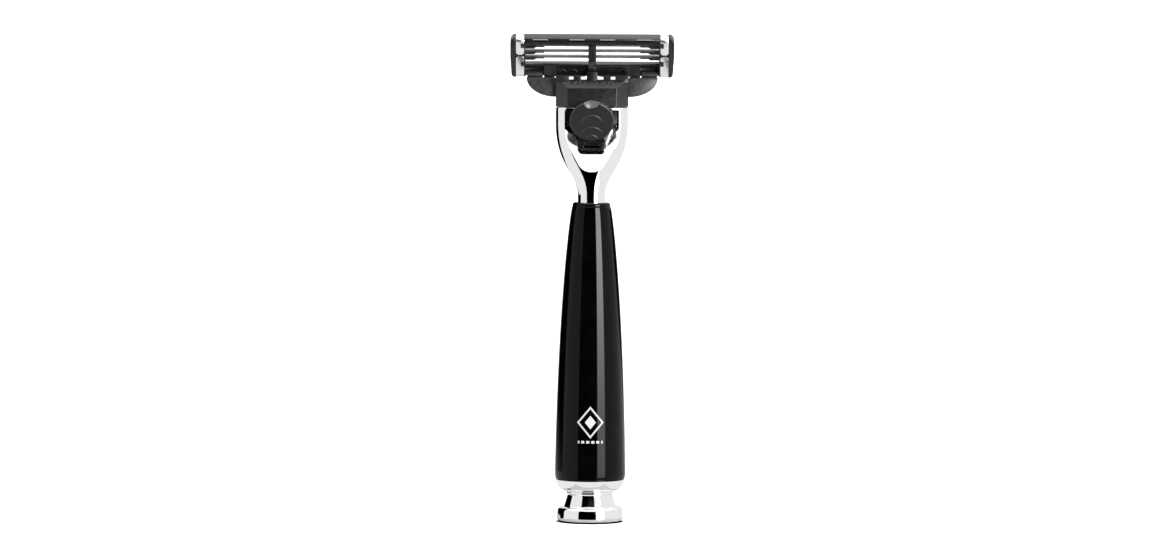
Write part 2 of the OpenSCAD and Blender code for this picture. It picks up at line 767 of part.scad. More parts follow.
// Moulded spring under each blade's end: a finger that thins towards its tip
module blade_springs()
    for (k = [0:blade_count - 1])
        along_y(spring_y - 0.65, spring_y) polygon([
            [end_in + 0.2, leg_z(k) - 0.02], [end_in - 4.9, leg_z(k) - 0.02], [end_in - 4.9, leg_z(k) - 0.25],
            [end_in - 2.8, leg_z(k) - 0.25], [end_in - 2.2, leg_z(k) - 0.62], [end_in + 0.2, leg_z(k) - 0.62]
        ]);

// Aluminium clip round one end: front, top and bottom, with two legs on the back
module retaining_clip(side)
    color("silver") at_pivot() mirror([side, 0, 0]) difference() {
        along_x(clip_in, clip_out) polygon(end_outline(0, front_y + clip_lift));
        along_x(clip_in - past, clip_out + past) polygon(end_outline(clip_t, front_y + clip_lift));
        along_y(back_y - past, -2) polygon(rounded(
            [
                [clip_in - past, clip_split_z - 0.7], [clip_in, clip_split_z - 0.7],
                [clip_in + 0.5, clip_split_z - bridge_half], [clip_out - 0.5, clip_split_z - bridge_half],
                [clip_out, clip_split_z - 0.7], [clip_out + past, clip_split_z - 0.7],
                [clip_out + past, clip_split_z + 0.7], [clip_out, clip_split_z + 0.7],
                [clip_out - 0.5, clip_split_z + bridge_half], [clip_in + 0.5, clip_split_z + bridge_half],
                [clip_in, clip_split_z + 0.7], [clip_in - past, clip_split_z + 0.7]
            ],
            [0, 0, 0.3, 0.3, 0, 0, 0, 0, 0.3, 0.3, 0, 0]
        ));
    }

// Side-on outline of the lubricating strip, let into the cap and proud of it by rise
function strip_outline(rise) = rounded(
    [
        [0.25, cap_bottom + 0.35], [front_y - rise, cap_bottom + 0.35],
        [front_y - rise, housing_top - 0.55], [0.25, housing_top - 0.55]
    ],
    rise < 0 ? [0, 0, 0, 0] : [0, 0.15, 0.15, 0]
);

// Lubricating strip in the cap
module lubricating_strip() color([0.55, 0.75, 0.78])
    at_pivot() along_x(-trim_r, trim_r) polygon(strip_outline(-0.2));

// Soft guard: a base strip with fins along the leading edge
module guard_fins() color([0.08, 0.08, 0.09])
    at_pivot() along_x(-trim_r, trim_r) polygon(concat(
        [[guard_seat, bar_bottom + 0.3]],
        [for (k = [0:fin_count - 1]) let (z = bar_bottom + 0.3 + k * fin_pitch)
            each [[front_y, z], [front_y + 0.22, z + 0.1], [front_y + 0.22, z + 0.24], [front_y, z + fin_pitch - 0.08]]],
        [[guard_seat, bar_top - 0.35]]
    ));
fin_pitch = (bar_top - 0.35 - bar_bottom - 0.3) / fin_count;

// Directions along a blade's platform, towards its edge, and square out of it
slope_along = [sin(blade_slope), -cos(blade_slope)];
slope_out = [cos(blade_slope), sin(blade_slope)];

// Bent steel support of blade k: a leg, and the sloping platform that the blade is welded to
module blade_support(k) color("darkgray")
    at_pivot() along_x(-end_in - support_hold, end_in + support_hold) polygon(let (
        bend = [bend_y, leg_z(k)],
        tip = bend + platform_l * slope_along
    ) [
        [leg_back, leg_z(k)], bend, tip, tip - support_t * slope_out,
        [bend_y - support_t * (1 - sin(blade_slope)) / cos(blade_slope), leg_z(k) - support_t],
        [leg_back, leg_z(k) - support_t]
    ]);

// Blade k: a thin strip on its platform, ground to an edge
module blade(k) color("silver")
    at_pivot() along_x(-blade_r, blade_r) polygon(let (
        heel = [bend_y, leg_z(k)] + 0.05 * slope_along,
        grind = heel + (platform_l + 0.03) * slope_along
    ) [
        heel, grind, grind + blade_overhang * slope_along + 0.04 * slope_out,
        grind + blade_t * slope_out, heel + blade_t * slope_out
    ]);
blade_r = clip_in - 0.15;

foot();
collar();
grip();
tie_rod();
fork();
docking_housing();
ejector_slide();
release_button();
plunger();
plunger_spring();
connector_base();
connector_cover();
blade_housing();
retaining_clip(1);  // retaining_clip_left
retaining_clip(0);  // retaining_clip_right
lubricating_strip();
guard_fins();
blade(0);  // blade_1
blade(1);  // blade_2
blade(2);  // blade_3
blade_support(0);  // blade_support_1
blade_support(1);  // blade_support_2
blade_support(2);  // blade_support_3
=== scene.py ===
"""Cartridge razor on its foot: the visible surfaces, the finishes and the studio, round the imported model."""
import math

import bmesh
import bpy
import numpy as np
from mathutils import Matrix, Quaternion, Vector


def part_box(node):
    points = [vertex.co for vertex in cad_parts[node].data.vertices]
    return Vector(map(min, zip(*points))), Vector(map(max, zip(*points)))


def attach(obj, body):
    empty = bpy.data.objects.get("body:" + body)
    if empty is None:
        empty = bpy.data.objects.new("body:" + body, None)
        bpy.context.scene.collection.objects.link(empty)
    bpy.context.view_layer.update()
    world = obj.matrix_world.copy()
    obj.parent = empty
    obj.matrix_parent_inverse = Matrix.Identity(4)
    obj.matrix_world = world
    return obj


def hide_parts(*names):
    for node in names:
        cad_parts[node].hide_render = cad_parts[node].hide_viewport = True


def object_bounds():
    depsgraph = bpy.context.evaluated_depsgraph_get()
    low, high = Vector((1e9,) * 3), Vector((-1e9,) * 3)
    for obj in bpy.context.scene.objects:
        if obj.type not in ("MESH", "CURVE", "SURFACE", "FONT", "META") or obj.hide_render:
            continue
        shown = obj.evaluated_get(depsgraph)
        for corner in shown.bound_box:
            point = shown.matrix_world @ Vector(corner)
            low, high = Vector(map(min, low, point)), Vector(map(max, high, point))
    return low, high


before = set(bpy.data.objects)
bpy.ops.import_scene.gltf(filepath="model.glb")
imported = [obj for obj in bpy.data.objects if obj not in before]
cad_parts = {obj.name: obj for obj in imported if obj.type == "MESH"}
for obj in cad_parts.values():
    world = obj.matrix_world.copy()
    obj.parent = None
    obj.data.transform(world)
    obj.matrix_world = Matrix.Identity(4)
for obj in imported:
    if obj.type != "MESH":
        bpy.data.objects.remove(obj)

MM = 0.001  # metres in a millimetre
cad_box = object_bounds()


def ends(node):
    """Lowest and highest corner of a CAD node, in millimetres."""
    return [np.array(corner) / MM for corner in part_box(node)]


# ---------------------------------------------------------------- surfaces

DOUBLE, CAD_DOUBLE = 1e-7, 2e-7  # metres within which corners are one, on a new surface and on a CAD node
FLAT = 0.4  # degrees within which neighbouring triangles are one flat face

def arc(centre, radius, start, end, count=12):
    """Points round a centre: centre plus radius times (cosine, sine) of each angle, in degrees."""
    angle = np.radians(np.linspace(start, end, count))
    return np.array(centre) + radius * np.stack([np.cos(angle), np.sin(angle)], -1)


def cubic(points, count):
    """Points on the cubic curve with four control points: each is weighted by its Bernstein polynomial."""
    t = np.linspace(0, 1, count)[:, None]
    p = np.array(points, float)
    return (1 - t) ** 3 * p[0] + 3 * t * (1 - t) ** 2 * p[1] + 3 * t * t * (1 - t) * p[2] + t**3 * p[3]


def path(*parts, step=0.3):
    """The parts joined end to end, with points put into every stretch longer than step."""
    points = np.concatenate([np.atleast_2d(np.array(part, float)) for part in parts])
    length = np.linalg.norm(np.diff(points, axis=0), axis=1)
    along = np.concatenate([[0], np.cumsum(length)])
    stations = [np.linspace(a, b, max(2, int((b - a) / step) + 1)) for a, b in zip(along, along[1:])]
    stations = np.unique(np.round(np.concatenate(stations), 7))
    return np.stack([np.interp(stations, along, axis) for axis in points.T], -1)


def grid_mesh(name, grids, loop=False, sharp=35):
    """A mesh over one or more grids of points (rows, columns, 3), in millimetres.

    Each point joins its neighbours in its row and column. Every row is a closed ring, and with loop
    the last row joins the first. Rings that shrink to a point are merged, and faces point outwards.
    """
    vertices, faces, first = [], [], 0
    for points in grids:
        rows, columns = points.shape[:2]
        index = first + np.arange(rows * columns).reshape(rows, columns)
        low = index if loop else index[:-1]
        high = np.roll(index, -1, 0) if loop else index[1:]
        quads = np.stack([low, np.roll(low, -1, 1), np.roll(high, -1, 1), high], -1)
        vertices.append(points.reshape(-1, 3) * MM)
        faces.append(quads.reshape(-1, 4))
        first += rows * columns
    mesh = bpy.data.meshes.new(name)
    mesh.from_pydata(np.concatenate(vertices), [], np.concatenate(faces).tolist())
    return finished(name, mesh, sharp)


def finished(name, mesh, sharp):
    """Merges doubles, turns the faces outwards and smooths every edge that bends less than sharp degrees."""
    cleaned = bmesh.new()
    cleaned.from_mesh(mesh)
    bmesh.ops.remove_doubles(cleaned, verts=cleaned.verts, dist=DOUBLE)
    bmesh.ops.recalc_face_normals(cleaned, faces=cleaned.faces)
    if cleaned.calc_volume(signed=True) < 0:
        bmesh.ops.reverse_faces(cleaned, faces=cleaned.faces)
    cleaned.to_mesh(mesh)
    cleaned.free()
    mesh.shade_smooth()
    mesh.set_sharp_from_angle(angle=math.radians(sharp))
    piece = bpy.data.objects.new(name, mesh)
    bpy.context.scene.collection.objects.link(piece)
    return piece


def turned(profile, columns=192):
    """A turned surface: each profile point (radius, height) is carried round the Z axis in equal steps."""
    angle = np.linspace(0, 2 * np.pi, columns, endpoint=False)
    radius, height = np.array(profile).T[:, :, None]
    return np.stack(np.broadcast_arrays(radius * np.cos(angle), radius * np.sin(angle), height), -1)


def fitted(piece, node, body, finish):
    """Puts a finished piece in a CAD node's place: what it rides on, replaces and is made of."""
    piece.data.materials.clear()
    piece.data.materials.append(finish)
    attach(piece, body)
    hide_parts(node)
    return piece


def eased(node, width, angle=28):
    """A copy of a CAD node with its triangles merged into flat faces, and every edge that bends more than
    angle, in degrees, rounded over by width, in millimetres."""
    name = f"{node}_eased"
    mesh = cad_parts[node].data.copy()
    mesh.name = name
    merged = bmesh.new()
    merged.from_mesh(mesh)
    bmesh.ops.remove_doubles(merged, verts=merged.verts, dist=CAD_DOUBLE)
    bmesh.ops.dissolve_limit(
        merged, angle_limit=math.radians(FLAT), verts=merged.verts, edges=merged.edges
    )
    merged.to_mesh(mesh)
    merged.free()
    mesh.shade_smooth()
    piece = bpy.data.objects.new(name, mesh)
    bpy.context.scene.collection.objects.link(piece)
    bevel = piece.modifiers.new("eased_edges", "BEVEL")
    bevel.width = width * MM
    bevel.segments = 2
    bevel.limit_method = "ANGLE"
    bevel.angle_limit = math.radians(angle)
    bevel.use_clamp_overlap = False
    bevel.harden_normals = True
    return piece


# ---------------------------------------------------------------- shading helpers


def maths(tree, operation, *values):
    """One Math node: operation on numbers or sockets."""
    node = tree.nodes.new("ShaderNodeMath")
    node.operation = operation
    for socket, value in zip(node.inputs, values):
        if isinstance(value, (int, float)):
            socket.default_value = value
        else:
            tree.links.new(value, socket)
    return node.outputs[0]


def ramp(tree, value, low, high, start=0.0, end=1.0):
    """A smooth step from start, where value is under low, to end, where it is over high."""
    node = tree.nodes.new("ShaderNodeMapRange")
    node.interpolation_type = "SMOOTHSTEP"
    tree.links.new(value, node.inputs["Value"])
    for socket, number in zip(("From Min", "From Max", "To Min", "To Max"), (low, high, start, end)):
        node.inputs[socket].default_value = number
    return node.outputs["Result"]


def between(tree, value, low, high, soft):
    """1 where value lies between low and high, 0 outside, with edges that are soft wide on each side."""
    rising = ramp(tree, value, low - soft, low + soft)
    falling = ramp(tree, value, high - soft, high + soft, 1.0, 0.0)
    return maths(tree, "MULTIPLY", rising, falling)


def blended(tree, share, a, b):
    """a where share is 0 and b where it is 1."""
    node = tree.nodes.new("ShaderNodeMix")
    tree.links.new(share, node.inputs["Factor"])
    for socket, value in ((node.inputs["A"], a), (node.inputs["B"], b)):
        if isinstance(value, (int, float)):
            socket.default_value = value
        else:
            tree.links.new(value, socket)
    return node.outputs["Result"]


# ---------------------------------------------------------------- studio

# azimuths from the front, positive to the right, and elevations, in degrees
BRIGHT_STRIP = (24, 50), (-16, 26)
FRONT_CARD = (-41, 22), (-39, 30)
LEFT_SCREEN = (-157, -103), (-4.5, 40)


def studio_world():
    """White to the camera. To everything else, radiance painted by direction: a light grey room that is
    brighter above, a tall bright strip to the right of the front, a black card in front and a black screen
    behind left."""
    world = bpy.data.worlds.new("white_studio")
    bpy.context.scene.world = world
    world.use_nodes = True
    tree = world.node_tree
    tree.nodes.clear()
    direction = tree.nodes.new("ShaderNodeTexCoord").outputs["Generated"]
    split = tree.nodes.new("ShaderNodeSeparateXYZ")
    tree.links.new(direction, split.inputs[0])
    x, y, z = split.outputs
    azimuth = maths(tree, "DEGREES", maths(tree, "ARCTAN2", x, maths(tree, "MULTIPLY", y, -1.0)))
    elevation = maths(tree, "DEGREES", maths(tree, "ARCSINE", z))

    def patch(az, el, soft):
        return maths(
            tree, "MULTIPLY", between(tree, azimuth, *az, soft), between(tree, elevation, *el, soft)
        )

    walls, ceiling = ramp(tree, elevation, 26, 36, 0.85, 1.2), ramp(tree, elevation, 40, 65, 0.0, 0.6)
    room = maths(tree, "ADD", walls, ceiling)
    room = maths(tree, "MULTIPLY", room, ramp(tree, elevation, -88, -62, 0.6, 1.0))
    lit = blended(tree, patch(*BRIGHT_STRIP, 1.5), room, ramp(tree, elevation, -5, 9, 5.4, 22.5))
    for card in (patch(*FRONT_CARD, 1.2), patch(*LEFT_SCREEN, 1.5)):
        lit = maths(tree, "MULTIPLY", lit, maths(tree, "SUBTRACT", 1.0, card))
    painted, white, pick, out = (
        tree.nodes.new(kind)
        for kind in (
            "ShaderNodeBackground", "ShaderNodeBackground", "ShaderNodeMixShader", "ShaderNodeOutputWorld"
        )
    )
    painted.inputs["Color"].default_value = (1, 1, 1, 1)
    white.inputs["Color"].default_value = (1, 1, 1, 1)
    tree.links.new(lit, painted.inputs["Strength"])
    rays = tree.nodes.new("ShaderNodeLightPath")
    tree.links.new(rays.outputs["Is Camera Ray"], pick.inputs[0])
    tree.links.new(painted.outputs[0], pick.inputs[1])
    tree.links.new(white.outputs[0], pick.inputs[2])
    tree.links.new(pick.outputs[0], out.inputs["Surface"])


def stage_sheet(name, rows, colour, seen_by, glow=0.0, ring=None):
    """A sheet of the studio over rows of points, in millimetres, seen only by the kinds of ray in seen_by.

    With ring, it carries a painted contact shadow: black inside the first of two radii and its own colour
    outside the second, round where the foot rests on it.
    """
    points = np.array(rows, float)
    index = np.arange(points.shape[0] * points.shape[1]).reshape(points.shape[:2])
    quads = np.stack([index[:-1, :-1], index[:-1, 1:], index[1:, 1:], index[1:, :-1]], -1)
    mesh = bpy.data.meshes.new(name)
    mesh.from_pydata(points.reshape(-1, 3) * MM, [], quads.reshape(-1, 4).tolist())
    sheet = bpy.data.objects.new(name, mesh)
    bpy.context.scene.collection.objects.link(sheet)
    finish = bpy.data.materials.new(name)
    finish.use_nodes = True
    shader = finish.node_tree.nodes["Principled BSDF"]
    shader.inputs["Base Color"].default_value = grey(colour)
    shader.inputs["Roughness"].default_value = 0.9
    shader.inputs["Specular IOR Level"].default_value = 0
    shader.inputs["Emission Color"].default_value = grey(1.0)
    shader.inputs["Emission Strength"].default_value = glow
    # painted contact shadow: colour and glow go to black inside the ring
    if ring:
        tree = finish.node_tree
        place = tree.nodes.new("ShaderNodeTexCoord")
        radius = tree.nodes.new("ShaderNodeVectorMath")
        radius.operation = "LENGTH"
        tree.links.new(place.outputs["Object"], radius.inputs[0])
        light = ramp(tree, radius.outputs["Value"], ring[0] * MM, ring[1] * MM)
        for socket, full in (("Base Color", grey(colour)), ("Emission Color", grey(1.0))):
            tree.links.new(two_tone(tree, light, grey(0.0), full), shader.inputs[socket])
    mesh.materials.append(finish)
    for kind in ("camera", "diffuse", "glossy", "transmission", "shadow"):
        setattr(sheet, f"visible_{kind}", kind in seen_by)


CAMERA_DISTANCE, CAMERA_RISE, CAMERA_LEAN = 1.65, math.radians(3.4), math.radians(0.3)
VIEW_WIDTH = 0.3021  # metres across the view at the razor
AIM_LEFT, AIM_UP = 0.0008, 0.0008  # metres from the razor's middle to the view's
SENSOR = 36  # millimetres


def camera():
    """A long lens far in front of the razor and a little above it, with a slight lean."""
    lens = bpy.data.cameras.new("camera")
    holder = bpy.data.objects.new("camera", lens)
    bpy.context.scene.collection.objects.link(holder)
    bpy.context.scene.camera = holder
    low, high = cad_box
    target = np.array([-AIM_LEFT, 0, (low[2] + high[2]) / 2 + AIM_UP])
    lens.sensor_width = SENSOR
    lens.lens = SENSOR * CAMERA_DISTANCE / VIEW_WIDTH
    lens.clip_end = 20
    away = np.array([0, -math.cos(CAMERA_RISE), math.sin(CAMERA_RISE)])
    holder.location = target + CAMERA_DISTANCE * away
    holder.rotation_mode = "QUATERNION"
    aim = Vector((target - np.array(holder.location)).tolist()).to_track_quat("-Z", "Y")
    holder.rotation_quaternion = aim @ Quaternion((0, 0, 1), CAMERA_LEAN)


# ---------------------------------------------------------------- shared finish effects


def effect(name, inputs, outputs):
    """An empty node group with named number inputs, each with its usual value, and named outputs."""
    group = bpy.data.node_groups.new(name, "ShaderNodeTree")
    for socket, value in inputs.items():
        made = group.interface.new_socket(socket, in_out="INPUT", socket_type="NodeSocketFloat")
        made.default_value = value
    for socket in outputs:
        group.interface.new_socket(socket, in_out="OUTPUT", socket_type="NodeSocketFloat")
    return group, group.nodes.new("NodeGroupInput").outputs, group.nodes.new("NodeGroupOutput").inputs


def speckle(tree, scale, detail=2.0, stretch=(1, 1, 1)):
    """Noise on Object coordinates, scale cells to the metre, stretched along the axes."""
    place = tree.nodes.new("ShaderNodeTexCoord")
    turn = tree.nodes.new("ShaderNodeMapping")
    turn.inputs["Scale"].default_value = stretch
    noise = tree.nodes.new("ShaderNodeTexNoise")
    noise.inputs["Detail"].default_value = detail
    tree.links.new(place.outputs["Object"], turn.inputs["Vector"])
    tree.links.new(turn.outputs["Vector"], noise.inputs["Vector"])
    if isinstance(scale, (int, float)):
        noise.inputs["Scale"].default_value = scale
    else:
        tree.links.new(scale, noise.inputs["Scale"])
    return noise.outputs["Fac"]


def smudge_effect():
    """Polished surface that has been handled: faint grease patches and fine wiping marks, as roughness."""
    group, given, result = effect(
        "handled_polish", {"Gloss": 0.04, "Smudge": 0.05, "Wipe": 0.02}, ["Roughness", "Height"]
    )
    patches = ramp(group, speckle(group, 160.0, 3.0), 0.48, 0.72)
    wipes = ramp(group, speckle(group, 900.0, 2.0, (1, 1, 0.12)), 0.55, 0.75)
    rough = maths(group, "MULTIPLY_ADD", patches, given["Smudge"], given["Gloss"])
    rough = maths(group, "MULTIPLY_ADD", wipes, given["Wipe"], rough)
    group.links.new(rough, result["Roughness"])
    group.links.new(speckle(group, 420.0, 3.0), result["Height"])
    return group


def mould_effect():
    """Moulded plastic: spark-eroded grain as height, cloudy gloss, and slight changes of shade."""
    group, given, result = effect(
        "moulded_grain",
        {"Grain": 9000.0, "Gloss": 0.35, "Cloud": 0.12},
        ["Roughness", "Height", "Shade"],
    )
    grain = speckle(group, given["Grain"], 2.0)
    cloud = speckle(group, 700.0, 3.0)
    rough = maths(group, "MULTIPLY_ADD", ramp(group, cloud, 0.35, 0.7), given["Cloud"], given["Gloss"])
    group.links.new(rough, result["Roughness"])
    group.links.new(grain, result["Height"])
    shade = ramp(group, cloud, 0.3, 0.75, 0.0, 0.6), ramp(group, grain, 0.4, 0.7, 0.0, 0.4)
    group.links.new(maths(group, "ADD", *shade), result["Shade"])
    return group


def brush_effect():
    """Rolled sheet metal: long fine lines along X, as height, roughness and shade."""
    group, given, result = effect(
        "rolled_lines", {"Gloss": 0.25, "Lines": 0.15}, ["Roughness", "Height", "Shade"]
    )
    lines = speckle(group, 6000.0, 3.0, (0.03, 1, 1))
    rough = maths(group, "MULTIPLY_ADD", ramp(group, lines, 0.35, 0.7), given["Lines"], given["Gloss"])
    group.links.new(rough, result["Roughness"])
    group.links.new(lines, result["Height"])
    group.links.new(ramp(group, lines, 0.35, 0.7), result["Shade"])
    return group


def edge_highlight_effect():
    """Painted edge highlights: 1 on convex edges, broken up by noise."""
    group, given, result = effect("painted_edge_highlights", {"Reach": 0.06}, ["Mask"])
    edge = group.nodes.new("ShaderNodeNewGeometry").outputs["Pointiness"]
    top = maths(group, "ADD", given["Reach"], 0.5)
    share = maths(group, "DIVIDE", maths(group, "SUBTRACT", edge, 0.5), maths(group, "SUBTRACT", top, 0.5))
    clipped = ramp(group, share, 0.2, 1.0)
    broken = ramp(group, speckle(group, 2500.0, 3.0), 0.35, 0.6)
    group.links.new(maths(group, "MULTIPLY", clipped, broken), result["Mask"])
    return group


HANDLED, MOULDED, ROLLED, EDGE_HIGHLIGHT = smudge_effect(), mould_effect(), brush_effect(), edge_highlight_effect()


def finish_base(name, group, values, constants, bump):
    """A material with a Principled shader, one shared effect and its bump, and constants on the shader."""
    finish = bpy.data.materials.new(name)
    finish.use_nodes = True
    tree = finish.node_tree
    shader = tree.nodes["Principled BSDF"]
    for socket, value in constants.items():
        shader.inputs[socket].default_value = value
    detail = tree.nodes.new("ShaderNodeGroup")
    detail.node_tree = group
    for socket, value in values.items():
        detail.inputs[socket].default_value = value
    tree.links.new(detail.outputs["Roughness"], shader.inputs["Roughness"])
    relief = tree.nodes.new("ShaderNodeBump")
    relief.inputs["Strength"].default_value, relief.inputs["Distance"].default_value = bump
    tree.links.new(detail.outputs["Height"], relief.inputs["Height"])
    tree.links.new(relief.outputs["Normal"], shader.inputs["Normal"])
    return finish, tree, shader, detail


def grey(value, warmth=0.0):
    """A grey of a brightness, a little warmer or cooler."""
    return (value * (1 + warmth), value, value * (1 - warmth), 1)


def two_tone(tree, share, a, b):
    """Colour a where share is 0 and colour b where it is 1."""
    node = tree.nodes.new("ShaderNodeMix")
    node.data_type = "RGBA"
    if isinstance(share, (int, float)):
        node.inputs["Factor"].default_value = share
    else:
        tree.links.new(share, node.inputs["Factor"])
    for socket, value in ((node.inputs[6], a), (node.inputs[7], b)):
        if isinstance(value, tuple):
            socket.default_value = value
        else:
            tree.links.new(value, socket)
    return node.outputs[2]


def polished_metal(name, shade, gloss, smudge=0.03):
    """Bright plated or bare metal, with faint smudges that dull and darken it."""
    finish, tree, shader, detail = finish_base(
        name, HANDLED, {"Gloss": gloss, "Smudge": smudge, "Wipe": 0.01}, {"Metallic": 1.0}, (0.02, 0.0001)
    )
    haze = ramp(tree, speckle(tree, 140.0, 3.0), 0.45, 0.75)
    colour = two_tone(tree, haze, grey(shade, 0.002), grey(shade * 0.985, 0.004))
    tree.links.new(colour, shader.inputs["Base Color"])
    return finish


def moulded_plastic(name, dark, light, gloss, grain=0.25, edge_highlight_amount=0.0, clear=0.5):
    """Moulded plastic between two shades, with grain, cloudy gloss and convex edges painted lighter as
    highlights.
    """
    finish, tree, shader, detail = finish_base(
        name, MOULDED, {"Gloss": gloss, "Cloud": 0.07}, {"Specular IOR Level": clear}, (grain, 0.00002)
    )
    colour = two_tone(tree, detail.outputs["Shade"], grey(dark), grey(light))
    # convex edges painted lighter by the given amount: a painted highlight along them
    if edge_highlight_amount:
        highlight_paint = tree.nodes.new("ShaderNodeGroup")
        highlight_paint.node_tree = EDGE_HIGHLIGHT
        painted_highlight = maths(tree, "MULTIPLY", highlight_paint.outputs["Mask"], edge_highlight_amount)
        colour = two_tone(tree, painted_highlight, colour, grey(light * 4))
    tree.links.new(colour, shader.inputs["Base Color"])
    return finish


def button_plastic():
    """The button's moulded plastic, with a painted highlight where its mesh says: paler in the scoop, on the
    arcs' crests and round the rim.
    """
    finish = moulded_plastic("button_plastic", 0.0035, 0.0055, 0.3, clear=0.42)
    tree = finish.node_tree
    shader = tree.nodes["Principled BSDF"]
    # painted highlight: its share, read from the mesh and broken up by fine noise, mixes the base towards a
    # pale grey
    highlight_paint = tree.nodes.new("ShaderNodeAttribute")
    highlight_paint.attribute_name = "painted_highlight"
    base = shader.inputs["Base Color"].links[0].from_socket
    grain = ramp(tree, speckle(tree, 5000.0, 2.0), 0.3, 0.7, 0.65, 1.0)
    share = maths(tree, "MULTIPLY", highlight_paint.outputs["Fac"], grain)
    tree.links.new(two_tone(tree, share, base, grey(0.1)), shader.inputs["Base Color"])
    return finish


def cap_mark_painted_light():
    """Matt marks on the cap: a painted highlight, pale, where they face up, and painted shade, black, in the
    undercut below.
    """
    finish, tree, shader, detail = finish_base(
        "cap_mark_painted_light", MOULDED, {"Gloss": 0.6, "Cloud": 0.1}, {"Specular IOR Level": 0.0}, (0.2, 0.00002)
    )
    place = tree.nodes.new("ShaderNodeTexCoord")
    split = tree.nodes.new("ShaderNodeSeparateXYZ")
    tree.links.new(place.outputs["Object"], split.inputs[0])
    # painted highlight above the crest's height and painted shade below it
    upper = ramp(tree, split.outputs[2], (CAP_MARK_Z - 0.03) * MM, (CAP_MARK_Z + 0.03) * MM)
    tree.links.new(two_tone(tree, upper, grey(0.001), grey(0.2)), shader.inputs["Base Color"])
    return finish


def rolled_metal(name, dark, light, gloss, lines=0.2):
    """Thin rolled or ground sheet, with fine lines along its length."""
    finish, tree, shader, detail = finish_base(
        name, ROLLED, {"Gloss": gloss, "Lines": lines}, {"Metallic": 1.0}, (0.12, 0.00002)
    )
    colour = two_tone(tree, detail.outputs["Shade"], grey(dark, 0.004), grey(light, 0.002))
    tree.links.new(colour, shader.inputs["Base Color"])
    return finish


def black_resin():
    """Cast black resin under a hard polish, with a small printed mark on the front: a lozenge with a core,
    over a row of dashes."""
    finish, tree, shader, detail = finish_base(
        "black_resin",
        HANDLED,
        {"Gloss": 0.035, "Smudge": 0.03, "Wipe": 0.012},
        {"IOR": 1.25},
        (0.015, 0.0001),
    )
    place = tree.nodes.new("ShaderNodeTexCoord")
    centred = tree.nodes.new("ShaderNodeMapping")
    centred.inputs["Location"].default_value = (0, 0, -MARK_Z * MM)
    split = tree.nodes.new("ShaderNodeSeparateXYZ")
    tree.links.new(place.outputs["Object"], centred.inputs["Vector"])
    tree.links.new(centred.outputs["Vector"], split.inputs[0])
    x, y, z = split.outputs
    across, up = (maths(tree, "MULTIPLY", axis, 1 / MM) for axis in (x, z))
    off, rise = maths(tree, "ABSOLUTE", across), maths(tree, "ABSOLUTE", up)
    lozenge = maths(
        tree, "ADD", maths(tree, "DIVIDE", off, MARK_HALF[0]), maths(tree, "DIVIDE", rise, MARK_HALF[1])
    )
    frame_line = between(tree, lozenge, *MARK_FRAME, 0.02)
    core = ramp(tree, lozenge, *MARK_CORE, 1.0, 0.0)
    # a dash lies on the middle of each cell of the pitch
    cell = maths(tree, "FLOORED_MODULO", across, DASH_PITCH)
    cell = maths(tree, "ABSOLUTE", maths(tree, "SUBTRACT", cell, DASH_PITCH / 2))
    below = maths(tree, "ABSOLUTE", maths(tree, "ADD", up, DASH_DROP))
    dash = ramp(tree, off, *DASH_ROW_END, 1.0, 0.0)
    for distance, edge in ((cell, DASH_HALF_LENGTH), (below, DASH_HALF_HEIGHT)):
        dash = maths(tree, "MULTIPLY", dash, ramp(tree, distance, *edge, 1.0, 0.0))
    mark = maths(tree, "MAXIMUM", maths(tree, "MAXIMUM", frame_line, core), dash)
    mark = maths(tree, "MULTIPLY", mark, maths(tree, "LESS_THAN", y, 0.0))
    cloud = ramp(tree, speckle(tree, 260.0, 3.0), 0.4, 0.7)
    base = two_tone(tree, cloud, grey(0.0006), grey(0.0012))
    tree.links.new(two_tone(tree, mark, base, grey(0.42)), shader.inputs["Base Color"])
    tree.links.new(
        maths(tree, "MULTIPLY_ADD", mark, 0.4, detail.outputs["Roughness"]), shader.inputs["Roughness"]
    )
    return finish


CAP_MARK_Z = 123.85  # height of the marks' crest, where the painted highlight above turns to the painted shade below
MARK_Z = 26.2  # height of the mark's centre
MARK_HALF = (3.4, 4.1)  # half diagonals of its lozenge
MARK_FRAME, MARK_CORE = (0.84, 1.0), (0.4, 0.44)  # the frame's line and the core's soft edge, as shares of it
DASH_DROP, DASH_PITCH = 5.05, 1.28  # how far under the centre the row of dashes lies, and its spacing
DASH_HALF_LENGTH, DASH_HALF_HEIGHT = (0.36, 0.42), (0.3, 0.36)  # where a dash starts and ends its fade
DASH_ROW_END = (3.15, 3.2)

